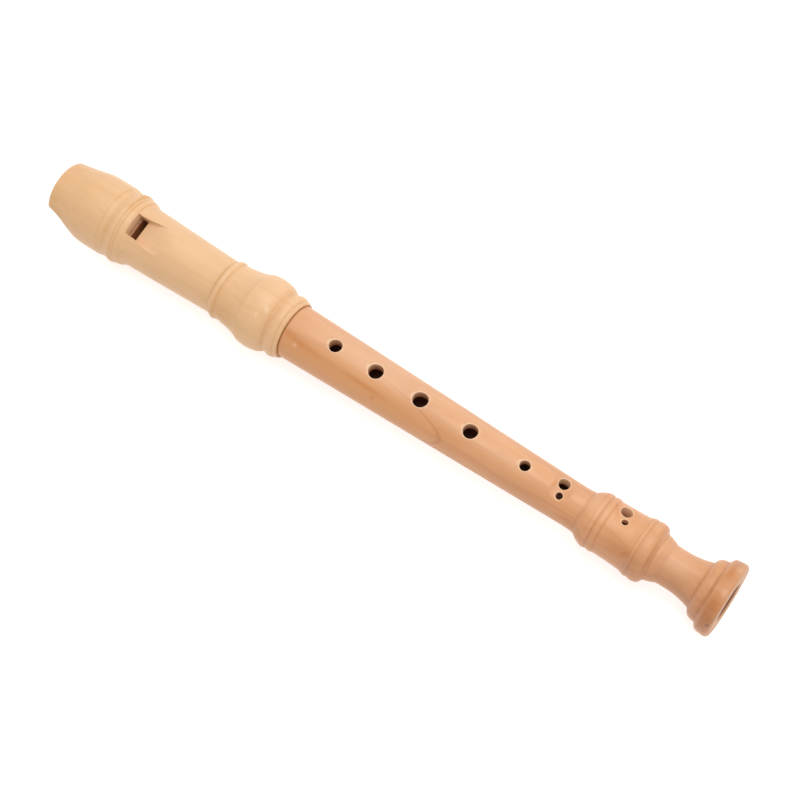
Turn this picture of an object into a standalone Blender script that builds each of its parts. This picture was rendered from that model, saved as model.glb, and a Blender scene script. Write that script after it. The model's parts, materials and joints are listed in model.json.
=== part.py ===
"""A wooden soprano recorder: a head joint with its windway block, and a body joint with its corked tenon.

It lies on its back along X, mouthpiece at -X and finger holes up. The origin is at the middle of its
length, on the surface that it lies on. Here a piece is built round the X axis, with x counted from the
mouthpiece's tip, and place() then puts it where it lies. Sizes are in metres.
"""

import math

import bmesh
import bpy
import numpy as np
from mathutils import Matrix

MM = 0.001
FACETS = 32  # sides of every turned piece: wide enough to rest on
HOLE_SIDES = 24
ARC_STEP = 1.4 * MM  # longest side of an arc
FIT_GAP = 0.3 * MM  # between pieces that touch
CUT_OVER = 5 * MM  # how far a cutter reaches past what it cuts
MERGE = 0.005 * MM  # points closer than this are one point

# Turned outlines. Each row is one stretch, in millimetres: its length, the radius that it ends at,
# and how far its arc bulges out (less than 0 for a hollow, 0 for a straight stretch).
HEAD_OUTLINE = (
    (0.0, 12.8, 0.0),  # rounded rim of the tip
    (0.8, 13.55, 0.15),
    (7.2, 14.5, 0.0),  # beak
    (8.0, 16.1, 0.06),
    (12.5, 16.15, 0.12),  # widest part of the beak
    (3.6, 15.55, -0.12),  # hollow before the collar
    (2.1, 16.1, -0.08),
    (1.9, 16.0, 0.2),  # collar, with three fine steps down to the waist
    (0.4, 15.7, 0.0),
    (1.5, 15.45, 0.0),
    (2.3, 14.85, 0.12),
    (0.3, 14.6, 0.0),
    (4.0, 13.72, -0.35),
    (39.7, 12.42, 0.0),  # waist
    (1.9, 12.8, -0.08),
    (2.7, 13.1, 0.66),  # thin bead
    (0.8, 13.0, 0.0),
    (7.4, 14.0, -0.07),
    (5.3, 15.85, -0.2),  # swelling over the socket
    (4.1, 16.3, 0.1),
    (3.6, 15.9, 0.1),
    (4.2, 13.7, 0.42),
    (1.5, 13.65, -0.14),  # groove
    (3.9, 13.9, 0.5),  # bead at the joint
    (0.3, 13.55, 0.0),
    (1.8, 12.7, 0.3),
)
BODY_OUTLINE = (
    (0.0, 11.75, 0.0),  # shoulder
    (0.5, 11.95, 0.0),
    (134.4, 9.1, 0.0),  # long taper that holds the finger holes
    (7.5, 9.3, -0.05),
    (1.0, 10.1, 0.0),  # flare under the holes
    (4.1, 12.05, 0.2),
    (2.2, 11.6, 0.3),
    (3.2, 11.68, 0.42),  # small bead
    (12.3, 12.1, -0.12),  # barrel
    (2.3, 12.85, -0.06),
    (1.1, 12.85, 0.1),
    (0.4, 12.65, 0.0),
    (4.6, 12.55, 0.45),  # wide bead
    (0.5, 12.1, 0.0),
    (1.6, 10.1, -0.2),
    (1.1, 9.95, 0.05),  # lip
    (1.6, 9.4, 0.0),
    (1.7, 8.6, -0.05),
    (6.0, 8.5, -0.1),  # neck
    (8.0, 9.8, -0.25),
    (1.5, 10.25, 0.0),
    (0.5, 11.4, 0.0),
    (2.0, 13.15, 0.25),  # bead before the bell
    (2.4, 13.5, 0.12),
    (0.3, 13.9, 0.0),
    (1.3, 15.8, 0.12),
    (4.0, 16.25, 0.08),  # bell
    (1.2, 15.9, 0.12),
    (0.6, 14.9, 0.2),
)

# The beak's hollow back, as a power curve that drops from the tip until it leaves the barrel.
# Heights are over the bore's axis.
BEAK_CUT_HEIGHT = 6.5 * MM
BEAK_CUT_LENGTH = 28 * MM
BEAK_CUT_DROP = 22.8 * MM
BEAK_CUT_POWER = 2.23
BEAK_CUT_STEPS = 16

# Bore, windway and window of the head, which stands turned against the finger holes
HEAD_TURN = math.radians(9.8)
HEAD_BORE_RADIUS = 7.3 * MM
WINDWAY_WIDTH = 10.2 * MM
WINDWAY_HEIGHT = 1.0 * MM
WINDWAY_RISE = 1.1 * MM  # of its floor over the top of the bore
WINDOW_START = 40.0 * MM
WINDOW_LENGTH = 4.0 * MM
LABIUM_THICKNESS = 0.45 * MM
RAMP_SLOPE = math.radians(16.5)
RAMP_FLARE = math.radians(8.6)
UNDERCUT_LENGTH = 9 * MM
BLOCK_CHAMFER = 1.0 * MM

# Socket, tenon and cork
SOCKET_DEPTH = 20 * MM
SOCKET_RADIUS = 10.3 * MM
TENON_CLEARANCE = 0.4 * MM
TENON_COLLAR = 3 * MM
CORK_LENGTH = 11.4 * MM
CORK_THICKNESS = 0.8 * MM

# Bore of the body: a cone that opens again at the foot
BODY_BORE_TOP = 7.0 * MM
BODY_BORE_FOOT = 5.3 * MM
FOOT_MOUTH_RADIUS = 8.5 * MM
FOOT_MOUTH_DEPTH = 12 * MM

# Holes: millimetres from the shoulder, degrees round from the hole line, diameter in millimetres
FINGER_HOLES = (
    (21.8, 0, 5.6),
    (41.9, 0, 6.4),
    (63.8, 0, 6.6),
    (88.0, 0, 6.3),
    (113.9, 0, 4.5),
)
DOUBLE_HOLES = (
    ((130.8, 18.6, 4.7), (131.7, -19.3, 2.9)),
    ((157.4, 33.5, 4.8), (159.2, 7.4, 2.8)),
)
THUMB_HOLE = (16.0, 180, 5.6)

# The scooped finger rest that each pair of holes sits in
SCOOP_RADIUS = 10 * MM
SCOOP_DEPTH = 1.0 * MM
SCOOP_SIDES = 64


def total(stretches):
    return sum(length for length, _, _ in stretches) * MM


def arc(start, end, bulge):
    """Points of the arc from start (left out) to end, whose middle stands bulge off the straight line."""
    if bulge == 0:
        return [end]
    run, rise = end[0] - start[0], end[1] - start[1]
    chord = math.hypot(run, rise)
    radius = chord**2 / (8 * abs(bulge)) + abs(bulge) / 2
    half = math.asin(chord / (2 * radius))
    sides = max(2, math.ceil(2 * half * radius / ARC_STEP))
    points = []
    for i in range(1, sides + 1):
        angle = half * (2 * i / sides - 1)
        share = 0.5 + radius * math.sin(angle) / chord
        off = math.copysign(radius * (math.cos(angle) - math.cos(half)), bulge) / chord
        points.append((start[0] + share * run - off * rise, start[1] + share * rise + off * run))
    return points


def outline(stretches, start):
    """Points (x, radius) of a turned outline that begins at x = start."""
    points = [(start, stretches[0][1] * MM)]
    x = start
    for length, radius, bulge in stretches[1:]:
        x += length * MM
        points += arc(points[-1], (x, radius * MM), bulge * MM)
    return points


HEAD_LENGTH = total(HEAD_OUTLINE)
SHOULDER = HEAD_LENGTH + FIT_GAP
LENGTH = SHOULDER + total(BODY_OUTLINE)
HEAD_RINGS = outline(HEAD_OUTLINE, 0.0)
BODY_RINGS = outline(BODY_OUTLINE, SHOULDER)

# The recorder lies on its widest ring behind the beak, which rests on one facet
REST_RADIUS = max(radius for x, radius in HEAD_RINGS + BODY_RINGS if x > BEAK_CUT_LENGTH)
AXIS_HEIGHT = REST_RADIUS * math.cos(math.pi / FACETS)

# The windway's floor lies a little over the bore, and the labium splits its air stream in half
WINDWAY_FLOOR = HEAD_BORE_RADIUS + WINDWAY_RISE
WINDWAY_ROOF = WINDWAY_FLOOR + WINDWAY_HEIGHT
LABIUM_HEIGHT = WINDWAY_FLOOR + WINDWAY_HEIGHT / 2
LABIUM_START = WINDOW_START + WINDOW_LENGTH

TENON_START = HEAD_LENGTH - SOCKET_DEPTH + FIT_GAP
TENON_RADIUS = SOCKET_RADIUS - TENON_CLEARANCE
RECESS_START = TENON_START + TENON_COLLAR
RECESS_END = RECESS_START + CORK_LENGTH + 2 * FIT_GAP
CORK_OUTER = SOCKET_RADIUS - FIT_GAP
CORK_INNER = CORK_OUTER - CORK_THICKNESS


def start_empty():
    for obj in list(bpy.data.objects):
        bpy.data.objects.remove(obj, do_unlink=True)


def new_collection(name, parent):
    collection = bpy.data.collections.new(name)
    parent.children.link(collection)
    return collection


def new_object(name, bm, collection):
    mesh = bpy.data.meshes.new(name)
    bm.to_mesh(mesh)
    bm.free()
    obj = bpy.data.objects.new(name, mesh)
    collection.objects.link(obj)
    return obj


def wood(name, colour, roughness):
    material = bpy.data.materials.new(name)
    material.use_nodes = True
    shader = material.node_tree.nodes["Principled BSDF"]
    shader.inputs["Base Color"].default_value = (*colour, 1)
    shader.inputs["Roughness"].default_value = roughness
    shader.inputs["Metallic"].default_value = 0
    return material


def turned(name, rings, collection):
    """A solid turned round X from (x, radius) rings, with one facet flat on its underside."""
    tilt = math.pi / FACETS
    profile = [(rings[0][0], 0.0), *rings, (rings[-1][0], 0.0)]
    bm = bmesh.new()
    verts = [bm.verts.new((x, r * math.sin(tilt), -r * math.cos(tilt))) for x, r in profile]
    for a, b in zip(verts, verts[1:]):
        bm.edges.new((a, b))
    obj = new_object(name, bm, collection)
    screw = obj.modifiers.new("Turn", "SCREW")
    screw.axis = "X"
    screw.steps = screw.render_steps = FACETS
    screw.use_merge_vertices = True
    screw.merge_threshold = MERGE
    graph = bpy.context.evaluated_depsgraph_get()
    made = bpy.data.meshes.new_from_object(obj.evaluated_get(graph))
    obj.modifiers.clear()
    bm = bmesh.new()
    bm.from_mesh(made)
    bmesh.ops.remove_doubles(bm, verts=bm.verts, dist=MERGE)
    bmesh.ops.recalc_face_normals(bm, faces=bm.faces)
    bm.to_mesh(obj.data)
    bm.free()
    bpy.data.meshes.remove(made)
    return obj


def prism(name, corners, half_width, collection):
    """A solid of the head, turned as its window is. Its side is the flat outline of (x, height) corners,
    and at each corner it reaches half_width(x) to either side."""
    bm = bmesh.new()
    face = bm.faces.new([bm.verts.new((x, -half_width(x), z)) for x, z in corners])
    grown = bmesh.ops.extrude_face_region(bm, geom=[face])["geom"]
    for item in grown:
        if isinstance(item, bmesh.types.BMVert):
            item.co.y = half_width(item.co.x)
    bmesh.ops.rotate(bm, verts=bm.verts, cent=(0, 0, 0), matrix=Matrix.Rotation(HEAD_TURN, 3, "X"))
    bmesh.ops.recalc_face_normals(bm, faces=bm.faces)
    return new_object(name, bm, collection)


def round_bar(name, radius, length, sides, collection, where):
    """A cylinder along Z round the origin, moved by the matrix where."""
    bm = bmesh.new()
    bmesh.ops.create_cone(
        bm, cap_ends=True, segments=sides, radius1=radius, radius2=radius, depth=length, matrix=where
    )
    new_object(name, bm, collection)


def on_the_tube(x, degrees, height):
    """The matrix that carries the origin out to height over the axis, degrees round from the hole line."""
    turn = Matrix.Rotation(-math.radians(degrees), 4, "X")
    return Matrix.Translation((x, 0, 0)) @ turn @ Matrix.Translation((0, 0, height))


def place(obj):
    obj.location = (-LENGTH / 2, 0, AXIS_HEIGHT)


def as_guide(obj):
    place(obj)
    obj.hide_render = True
    obj.display_type = "WIRE"


def join(target, guide):
    as_guide(guide)
    modifier = target.modifiers.new(guide.name, "BOOLEAN")
    modifier.operation = "UNION"
    modifier.solver = "EXACT"
    modifier.object = guide


def cut(target, cutters):
    """Cuts the whole collection cutters out of the target at once, so that no rounding builds up."""
    for cutter in cutters.objects:
        as_guide(cutter)
    modifier = target.modifiers.new(cutters.name, "BOOLEAN")
    modifier.operation = "DIFFERENCE"
    modifier.solver = "EXACT"
    modifier.operand_type = "COLLECTION"
    modifier.collection = cutters


def finish(obj, material):
    obj.data.materials.append(material)
    obj.data.shade_smooth()
    obj.data.set_sharp_from_angle(angle=math.radians(30))
    place(obj)


def beak_cutter(name, collection):
    """What is cut away under the beak: height = BEAK_CUT_HEIGHT - drop times a power of the distance."""
    past = 1 + CUT_OVER / BEAK_CUT_LENGTH
    curve = [
        (BEAK_CUT_LENGTH * t, BEAK_CUT_HEIGHT - BEAK_CUT_DROP * t**BEAK_CUT_POWER)
        for t in np.linspace(0, past, BEAK_CUT_STEPS)
    ]
    end, deep = curve[-1]
    deep -= CUT_OVER
    corners = [(-CUT_OVER, BEAK_CUT_HEIGHT), *curve, (end, deep), (-CUT_OVER, deep)]
    prism(name, corners, lambda x: REST_RADIUS + CUT_OVER, collection)


def windway_cutter(collection):
    """The windway's slot, the window over its end, and the flat hollow that thins the labium from below."""
    end = LABIUM_START + UNDERCUT_LENGTH
    bore_at_side = math.sqrt(HEAD_BORE_RADIUS**2 - (WINDWAY_WIDTH / 2) ** 2)
    over = REST_RADIUS + CUT_OVER
    corners = (
        (-CUT_OVER, 0),
        (end, 0),
        (end, bore_at_side - FIT_GAP),
        (LABIUM_START, LABIUM_HEIGHT - LABIUM_THICKNESS),
        (LABIUM_START, over),
        (WINDOW_START, over),
        (WINDOW_START, WINDWAY_ROOF),
        (-CUT_OVER, WINDWAY_ROOF),
    )
    prism("windway_cutter", corners, lambda x: WINDWAY_WIDTH / 2, collection)


def ramp_cutter(collection):
    """The ramp up from the labium: a wedge whose sides spread as it climbs away from the edge."""
    start = LABIUM_START - FIT_GAP
    low = LABIUM_HEIGHT - FIT_GAP * math.tan(RAMP_SLOPE)
    over = REST_RADIUS + CUT_OVER
    end = start + (over - low) / math.tan(RAMP_SLOPE)

    def spread(x):
        return WINDWAY_WIDTH / 2 + (x - LABIUM_START) * math.tan(RAMP_FLARE)

    prism("ramp_cutter", ((start, low), (end, over), (start, over)), spread, collection)


def make_head(parts, guides, material):
    head = turned("head_joint", HEAD_RINGS, parts)
    cutters = new_collection("head_cutters", guides)
    bore = [
        (-CUT_OVER, HEAD_BORE_RADIUS),
        (HEAD_LENGTH - SOCKET_DEPTH, HEAD_BORE_RADIUS),
        (HEAD_LENGTH - SOCKET_DEPTH, SOCKET_RADIUS),
        (HEAD_LENGTH + CUT_OVER, SOCKET_RADIUS),
    ]
    turned("head_bore_cutter", bore, cutters)
    windway_cutter(cutters)
    ramp_cutter(cutters)
    beak_cutter("head_beak_cutter", cutters)
    cut(head, cutters)
    finish(head, material)


def make_block(parts, guides, material):
    """The block: a round plug with a raised flat bed, chamfered where the windway opens."""
    radius = HEAD_BORE_RADIUS - FIT_GAP
    block = turned("windway_block", [(0, radius), (WINDOW_START, radius)], parts)
    cutters = new_collection("block_cutters", guides)
    bed = ((0, 0), (WINDOW_START, 0), (WINDOW_START, WINDWAY_FLOOR), (0, WINDWAY_FLOOR))
    over = WINDWAY_FLOOR + CUT_OVER
    end = WINDOW_START + CUT_OVER
    chamfer = (
        (WINDOW_START - BLOCK_CHAMFER, WINDWAY_FLOOR),
        (end, WINDWAY_FLOOR - BLOCK_CHAMFER - CUT_OVER),
        (end, over),
        (WINDOW_START - BLOCK_CHAMFER, over),
    )
    prism("chamfer_cutter", chamfer, lambda x: 2 * HEAD_BORE_RADIUS, cutters)
    beak_cutter("block_beak_cutter", cutters)
    join(block, prism("bed", bed, lambda x: WINDWAY_WIDTH / 2 - FIT_GAP, guides))
    cut(block, cutters)
    finish(block, material)


def hole_cutter(name, hole, cutters):
    """A round hole along a radius, from inside the bore to well outside the wall."""
    distance, degrees, diameter = hole
    length = REST_RADIUS
    where = on_the_tube(SHOULDER + distance * MM, degrees, CUT_OVER / 2 + length / 2)
    round_bar(name, diameter * MM / 2, length, HOLE_SIDES, cutters, where)


def scoop_cutter(name, first, second, cutters):
    """A wide bar across the tube, half way between two holes, that dips under the surface."""
    x = SHOULDER + (first[0] + second[0]) / 2 * MM
    degrees = (first[1] + second[1]) / 2
    surface = np.interp(x, *zip(*BODY_RINGS))
    where = on_the_tube(x, degrees, surface - SCOOP_DEPTH + SCOOP_RADIUS)
    across = Matrix.Rotation(math.pi / 2, 4, "X")
    round_bar(name, SCOOP_RADIUS, 2 * REST_RADIUS, SCOOP_SIDES, cutters, where @ across)


def make_body(parts, guides, material):
    tenon = [
        (TENON_START, TENON_RADIUS),
        (RECESS_START, TENON_RADIUS),
        (RECESS_START, CORK_INNER - FIT_GAP),
        (RECESS_END, CORK_INNER - FIT_GAP),
        (RECESS_END, TENON_RADIUS),
        (SHOULDER, TENON_RADIUS),
    ]
    body = turned("body_joint", [*tenon, *BODY_RINGS], parts)
    cutters = new_collection("body_cutters", guides)
    widening = (FOOT_MOUTH_RADIUS - BODY_BORE_FOOT) / FOOT_MOUTH_DEPTH
    bore = [
        (TENON_START - CUT_OVER, BODY_BORE_TOP),
        (TENON_START, BODY_BORE_TOP),
        (LENGTH - FOOT_MOUTH_DEPTH, BODY_BORE_FOOT),
        (LENGTH + CUT_OVER, FOOT_MOUTH_RADIUS + widening * CUT_OVER),
    ]
    turned("body_bore_cutter", bore, cutters)
    for number, (first, second) in enumerate(DOUBLE_HOLES, start=1):
        scoop_cutter(f"scoop_cutter_{number}", first, second, cutters)
    holes = (*FINGER_HOLES, THUMB_HOLE, *DOUBLE_HOLES[0], *DOUBLE_HOLES[1])
    for number, hole in enumerate(holes, start=1):
        hole_cutter(f"hole_cutter_{number}", hole, cutters)
    cut(body, cutters)
    finish(body, material)


def make_cork(parts, guides, material):
    start = RECESS_START + FIT_GAP
    end = start + CORK_LENGTH
    cork = turned("tenon_cork", [(start, CORK_OUTER), (end, CORK_OUTER)], parts)
    cutters = new_collection("cork_cutters", guides)
    turned("cork_bore_cutter", [(start - CUT_OVER, CORK_INNER), (end + CUT_OVER, CORK_INNER)], cutters)
    cut(cork, cutters)
    finish(cork, material)


def main():
    start_empty()
    parts = new_collection("wooden_recorder", bpy.context.scene.collection)
    guides = new_collection("cutters", bpy.context.scene.collection)
    guides.hide_render = True
    make_head(parts, guides, wood("pale_maple", (0.80, 0.56, 0.33), 0.42))
    make_block(parts, guides, wood("cedar", (0.45, 0.26, 0.17), 0.6))
    make_body(parts, guides, wood("rosy_maple", (0.78, 0.46, 0.27), 0.42))
    make_cork(parts, guides, wood("cork", (0.50, 0.32, 0.18), 0.9))


main()
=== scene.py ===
# %% [markdown]
# This is a wooden soprano recorder, lying on its back with its finger holes up. Its solid model is packed
# and fixed. It has a head with a window, a block inside the beak, a body with seven finger holes, and a
# ring of cork on the tenon. The model is loaded first, because every finer surface has to lie where its
# solid lies.

# %% Load the fixed model
import json
import math

import bmesh
import bpy
import numpy as np
from mathutils import Matrix, Vector


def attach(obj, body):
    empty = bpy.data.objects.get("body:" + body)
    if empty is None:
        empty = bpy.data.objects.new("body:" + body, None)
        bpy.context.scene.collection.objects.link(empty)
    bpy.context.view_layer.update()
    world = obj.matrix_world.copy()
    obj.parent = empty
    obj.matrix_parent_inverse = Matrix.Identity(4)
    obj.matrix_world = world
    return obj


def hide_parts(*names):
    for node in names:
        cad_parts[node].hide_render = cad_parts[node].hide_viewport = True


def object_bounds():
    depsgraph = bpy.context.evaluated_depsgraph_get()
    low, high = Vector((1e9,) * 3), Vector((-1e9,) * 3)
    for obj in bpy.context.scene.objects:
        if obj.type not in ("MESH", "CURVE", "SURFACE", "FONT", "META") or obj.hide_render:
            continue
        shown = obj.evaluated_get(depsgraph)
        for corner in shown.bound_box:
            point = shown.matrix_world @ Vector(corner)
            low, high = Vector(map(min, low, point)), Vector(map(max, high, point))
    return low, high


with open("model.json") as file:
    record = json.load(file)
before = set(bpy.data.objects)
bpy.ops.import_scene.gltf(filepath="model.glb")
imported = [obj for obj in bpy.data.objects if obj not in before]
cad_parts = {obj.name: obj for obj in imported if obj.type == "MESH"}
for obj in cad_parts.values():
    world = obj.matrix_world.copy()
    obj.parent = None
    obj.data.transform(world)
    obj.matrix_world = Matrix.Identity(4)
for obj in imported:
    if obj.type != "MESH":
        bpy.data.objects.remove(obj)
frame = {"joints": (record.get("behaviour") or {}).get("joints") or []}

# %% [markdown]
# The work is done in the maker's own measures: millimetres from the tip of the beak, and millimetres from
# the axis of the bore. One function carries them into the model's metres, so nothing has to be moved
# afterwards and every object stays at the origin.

MM = 0.001
cad_low, cad_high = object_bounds()
LENGTH = (cad_high.x - cad_low.x) / MM
AXIS_HEIGHT = next(joint for joint in frame["joints"] if joint["name"] == "head_twist")["pos_m"][2] / MM
print("length in mm", round(LENGTH, 2), "bore axis over the floor", round(AXIS_HEIGHT, 3))


def to_metres(points):
    """Points (from the tip, across, over the bore's axis) in mm, as points of the model in metres."""
    return (points + np.array((-LENGTH / 2, 0, AXIS_HEIGHT))) * MM


def to_maker(mesh):
    """The vertices of a mesh as (from the tip, across, over the bore's axis) in mm."""
    flat = np.empty(len(mesh.vertices) * 3)
    mesh.vertices.foreach_get("co", flat)
    return flat.reshape(-1, 3) / MM - np.array((-LENGTH / 2, 0, AXIS_HEIGHT))


# %% [markdown]
# A lathe makes the outside of a recorder: the wood turns, and the tool follows an outline. So each outline
# is written as a turner would read it off a drawing, stretch by stretch: how long it is, the radius it
# ends at, and how far its arc stands out from the straight line. A Bezier curve and a Screw modifier could
# do the same, but a table can be checked with a rule.

# %% Outline of the head, from the tip of the beak to the joint
HEAD_OUTLINE = (
    (0.0, 12.8, 0.0),  # rounded rim of the tip
    (0.8, 13.55, 0.15),
    (7.2, 14.5, 0.0),  # beak
    (8.0, 16.1, 0.06),
    (12.5, 16.15, 0.12),  # widest part of the beak
    (3.1, 15.58, -0.12),  # hollow before the collar
    (2.1, 16.1, -0.08),
    (1.8, 16.0, 0.2),  # collar, with three fine steps down to the waist
    (0.4, 15.7, 0.0),
    (1.4, 15.45, 0.0),
    (2.2, 14.85, 0.12),
    (0.3, 14.6, 0.0),
    (4.4, 13.72, -0.35),
    (40.1, 12.42, 0.0),  # waist
    (1.9, 12.7, -0.06),
    (2.8, 12.93, 0.72),  # thin bead
    (0.7, 12.95, 0.0),
    (7.4, 14.0, -0.08),
    (5.3, 15.85, -0.2),  # swelling over the socket
    (4.1, 16.3, 0.1),
    (3.6, 15.9, 0.1),
    (4.2, 13.7, 0.42),
    (1.5, 13.65, -0.14),  # groove
    (3.8, 13.8, 0.52),  # bead at the joint
    (0.3, 13.4, 0.0),
    (1.9, 12.65, 0.25),
)

# %% Outline of the body, from its shoulder to the end of the foot
BODY_OUTLINE = (
    (0.0, 11.75, 0.0),  # shoulder
    (0.5, 11.95, 0.0),
    (134.4, 9.1, 0.0),  # long taper that holds the finger holes
    (7.5, 9.3, -0.12),
    (1.0, 10.0, -0.06),  # flare under the holes
    (4.1, 12.05, 0.2),
    (2.2, 11.6, 0.3),
    (3.2, 11.68, 0.42),  # small bead
    (12.3, 12.1, -0.12),  # barrel
    (2.3, 12.85, -0.06),
    (1.1, 12.85, 0.1),
    (0.4, 12.65, 0.0),
    (4.6, 12.55, 0.45),  # wide bead
    (0.5, 12.1, 0.0),
    (1.6, 10.1, -0.2),
    (1.1, 9.95, 0.05),  # lip
    (1.6, 9.4, 0.0),
    (1.7, 8.6, -0.05),
    (6.0, 8.5, -0.1),  # neck
    (8.0, 9.8, -0.25),
    (1.5, 10.25, 0.0),
    (0.5, 11.4, 0.0),
    (2.0, 13.15, 0.25),  # bead before the bell
    (2.4, 13.5, 0.12),
    (0.3, 13.9, 0.0),
    (1.3, 15.8, 0.12),
    (4.0, 16.25, 0.08),  # bell
    (1.2, 15.9, 0.12),
    (0.6, 14.9, 0.2),
)
HEAD_LENGTH = sum(row[0] for row in HEAD_OUTLINE)
SHOULDER = LENGTH - sum(row[0] for row in BODY_OUTLINE)
print("head ends at", round(HEAD_LENGTH, 2), "and the body's shoulder starts at", round(SHOULDER, 2))

# %% [markdown]
# Sandpaper takes the sharpness off every edge that the tool leaves. Here a short bell-shaped average does
# it: the radius is worked out every 0.02 mm, and each value becomes the mean of its neighbours. Fine lines
# that were scored into the turning wood are then cut in, each as a narrow bell-shaped dip. The result is
# a plain function, radius against distance, that later steps can ask for.

# %% From a table to a sanded outline
FINE = 0.02
SANDING = 0.16
SOLID_FLATS = math.cos(math.pi / 32)  # the solids have 32 flats, and the fine surface stays inside them


def sanded_outline(table, start, lines):
    """Distances and radii every FINE mm. Along a stretch, a point is start + t times the chord, pushed
    off it by 4 bulge t (1 - t). The radii are averaged with a bell curve, and each line is cut in as
    depth exp(-(dx / width)^2)."""
    rows = np.array(table)
    corner_x, corner_r = start + np.cumsum(rows[:, 0]), rows[:, 1]
    run, rise = np.diff(corner_x), np.diff(corner_r)
    t = np.linspace(0, 1, 60)[:, None]
    off = 4 * rows[1:, 2] * t * (1 - t) / np.hypot(run, rise)
    x = (corner_x[:-1] + t * run - off * rise).T.ravel()
    r = (corner_r[:-1] + t * rise + off * run).T.ravel()
    distance = np.arange(start, corner_x[-1] + FINE / 2, FINE)
    radius = np.interp(distance, np.maximum.accumulate(x), r)
    reach = int(4 * SANDING / FINE)
    bell = np.exp(-0.5 * (np.arange(-reach, reach + 1) * FINE / SANDING) ** 2)
    radius = np.convolve(np.pad(radius, reach, mode="edge"), bell / bell.sum(), mode="valid")
    for middle, depth, width in lines:
        radius -= depth * np.exp(-(((distance - middle) / width) ** 2))
    return distance, radius * SOLID_FLATS


HEAD_LINES = (
    (28.4, 0.1, 0.35),  # distance, depth, width
    (35.7, 0.07, 0.28),
    (37.1, 0.1, 0.25),
    (39.7, 0.08, 0.25),
    (112.6, 0.04, 0.3),
)
BODY_LINES = (
    (270.1, 0.05, 0.28),
    (275.0, 0.05, 0.28),
    (289.5, 0.07, 0.25),
    (300.2, 0.06, 0.28),
    (318.0, 0.03, 0.35),
)
HEAD_X, HEAD_R = sanded_outline(HEAD_OUTLINE, 0.0, HEAD_LINES)
BODY_X, BODY_R = sanded_outline(BODY_OUTLINE, SHOULDER, BODY_LINES)
print("head radius", HEAD_R.min().round(2), "to", HEAD_R.max().round(2))
print("body radius", BODY_R.min().round(2), "to", BODY_R.max().round(2))

# %% [markdown]
# A mesh needs many rings where the outline bends and few where it is straight. Each small step of the
# outline is given a weight, its length plus how much it turns, and the rings are placed at equal sums of
# weight. That puts the triangles where the eye sees them.

# %% Where the rings of a turned surface go
RING_STEP = 1.5
RING_TURN = math.radians(7)
DENSE_STEP = 0.35


def ring_places(x, r, dense=()):
    """Distances of the rings: equal parts of the running sum of length / RING_STEP + turning / RING_TURN,
    with more in the dense stretches (first, last)."""
    along, out = np.gradient(x), np.gradient(r)
    turning = np.abs(np.gradient(np.arctan2(out, along)))
    weight = np.hypot(along, out) / RING_STEP + turning / RING_TURN
    for first, last in dense:
        weight += np.where((x > first) & (x < last), FINE / DENSE_STEP, 0)
    total = np.cumsum(weight)
    return np.interp(np.linspace(total[0], total[-1], int(total[-1])), total, x)


def filled_in(corners, step):
    """The corners (x, radius) of a straight-sided path, with points between them at most step apart."""
    corners = np.array(corners)
    lengths = np.hypot(*np.diff(corners, axis=0).T)
    run = np.concatenate(([0], np.cumsum(lengths)))
    stops = [np.linspace(a, b, max(2, math.ceil((b - a) / step) + 1))[:-1] for a, b in zip(run, run[1:])]
    stops = np.concatenate((*stops, run[-1:]))
    return np.stack((np.interp(stops, run, corners[:, 0]), np.interp(stops, run, corners[:, 1])), axis=1)


# %% [markdown]
# Every new surface here is a grid of points with its rows closed into loops. One function turns such a
# grid into a mesh. It measures the volume it encloses: a negative one means that the faces look inwards,
# and then they are all turned round.

# %% From a grid of points to a closed mesh


def skin(name, points, ring=True):
    """A closed mesh over points[row, place, 3] in mm. Quads join each row to the next. With ring, the last
    row is joined to the first, as on a tube with a bore; otherwise each end gets one flat face."""
    rows, around = points.shape[:2]
    index = np.arange(rows * around).reshape(rows, around)
    here, there = (index, np.roll(index, -1, axis=0)) if ring else (index[:-1], index[1:])
    quads = np.stack((here, np.roll(here, -1, axis=1), np.roll(there, -1, axis=1), there), axis=-1)
    faces = quads.reshape(-1, 4).tolist()
    if not ring:
        faces += [index[0, ::-1].tolist(), index[-1].tolist()]
    mesh = bpy.data.meshes.new(name)
    mesh.from_pydata(to_metres(points).reshape(-1, 3).tolist(), [], faces)
    work = bmesh.new()
    work.from_mesh(mesh)
    if work.calc_volume(signed=True) < 0:
        mesh.flip_normals()
    work.free()
    made = bpy.data.objects.new(name, mesh)
    bpy.context.scene.collection.objects.link(made)
    return made


def turned(x, r, sides):
    """Points of a surface turned round the bore's axis: at angle a they are (x, r sin a, r cos a). The radii
    may be one for each ring, or a grid with one for each ring and side."""
    angle = np.linspace(0, 2 * math.pi, sides, endpoint=False)
    radius = np.broadcast_to(r.reshape(len(x), -1), (len(x), sides))
    distance = np.broadcast_to(x[:, None], radius.shape)
    return np.stack((distance, radius * np.sin(angle), radius * np.cos(angle)), axis=-1)


# %% [markdown]
# Windows and holes are cut after turning, on the real instrument as here. Each cutter is a closed mesh too,
# and a Boolean modifier takes all the cutters of a piece away in one step. Its result is stored as a plain
# mesh, so nothing depends on the cutters any more and they can go.

# %% Cut with a group of cutters


def open_edges(mesh):
    """How many edges don't have exactly two faces: none, on a closed mesh."""
    edge_of_corner = np.empty(len(mesh.loops), np.int32)
    mesh.loops.foreach_get("edge_index", edge_of_corner)
    faces_at_edge = np.bincount(edge_of_corner, minlength=len(mesh.edges))
    return int((faces_at_edge != 2).sum())


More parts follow.
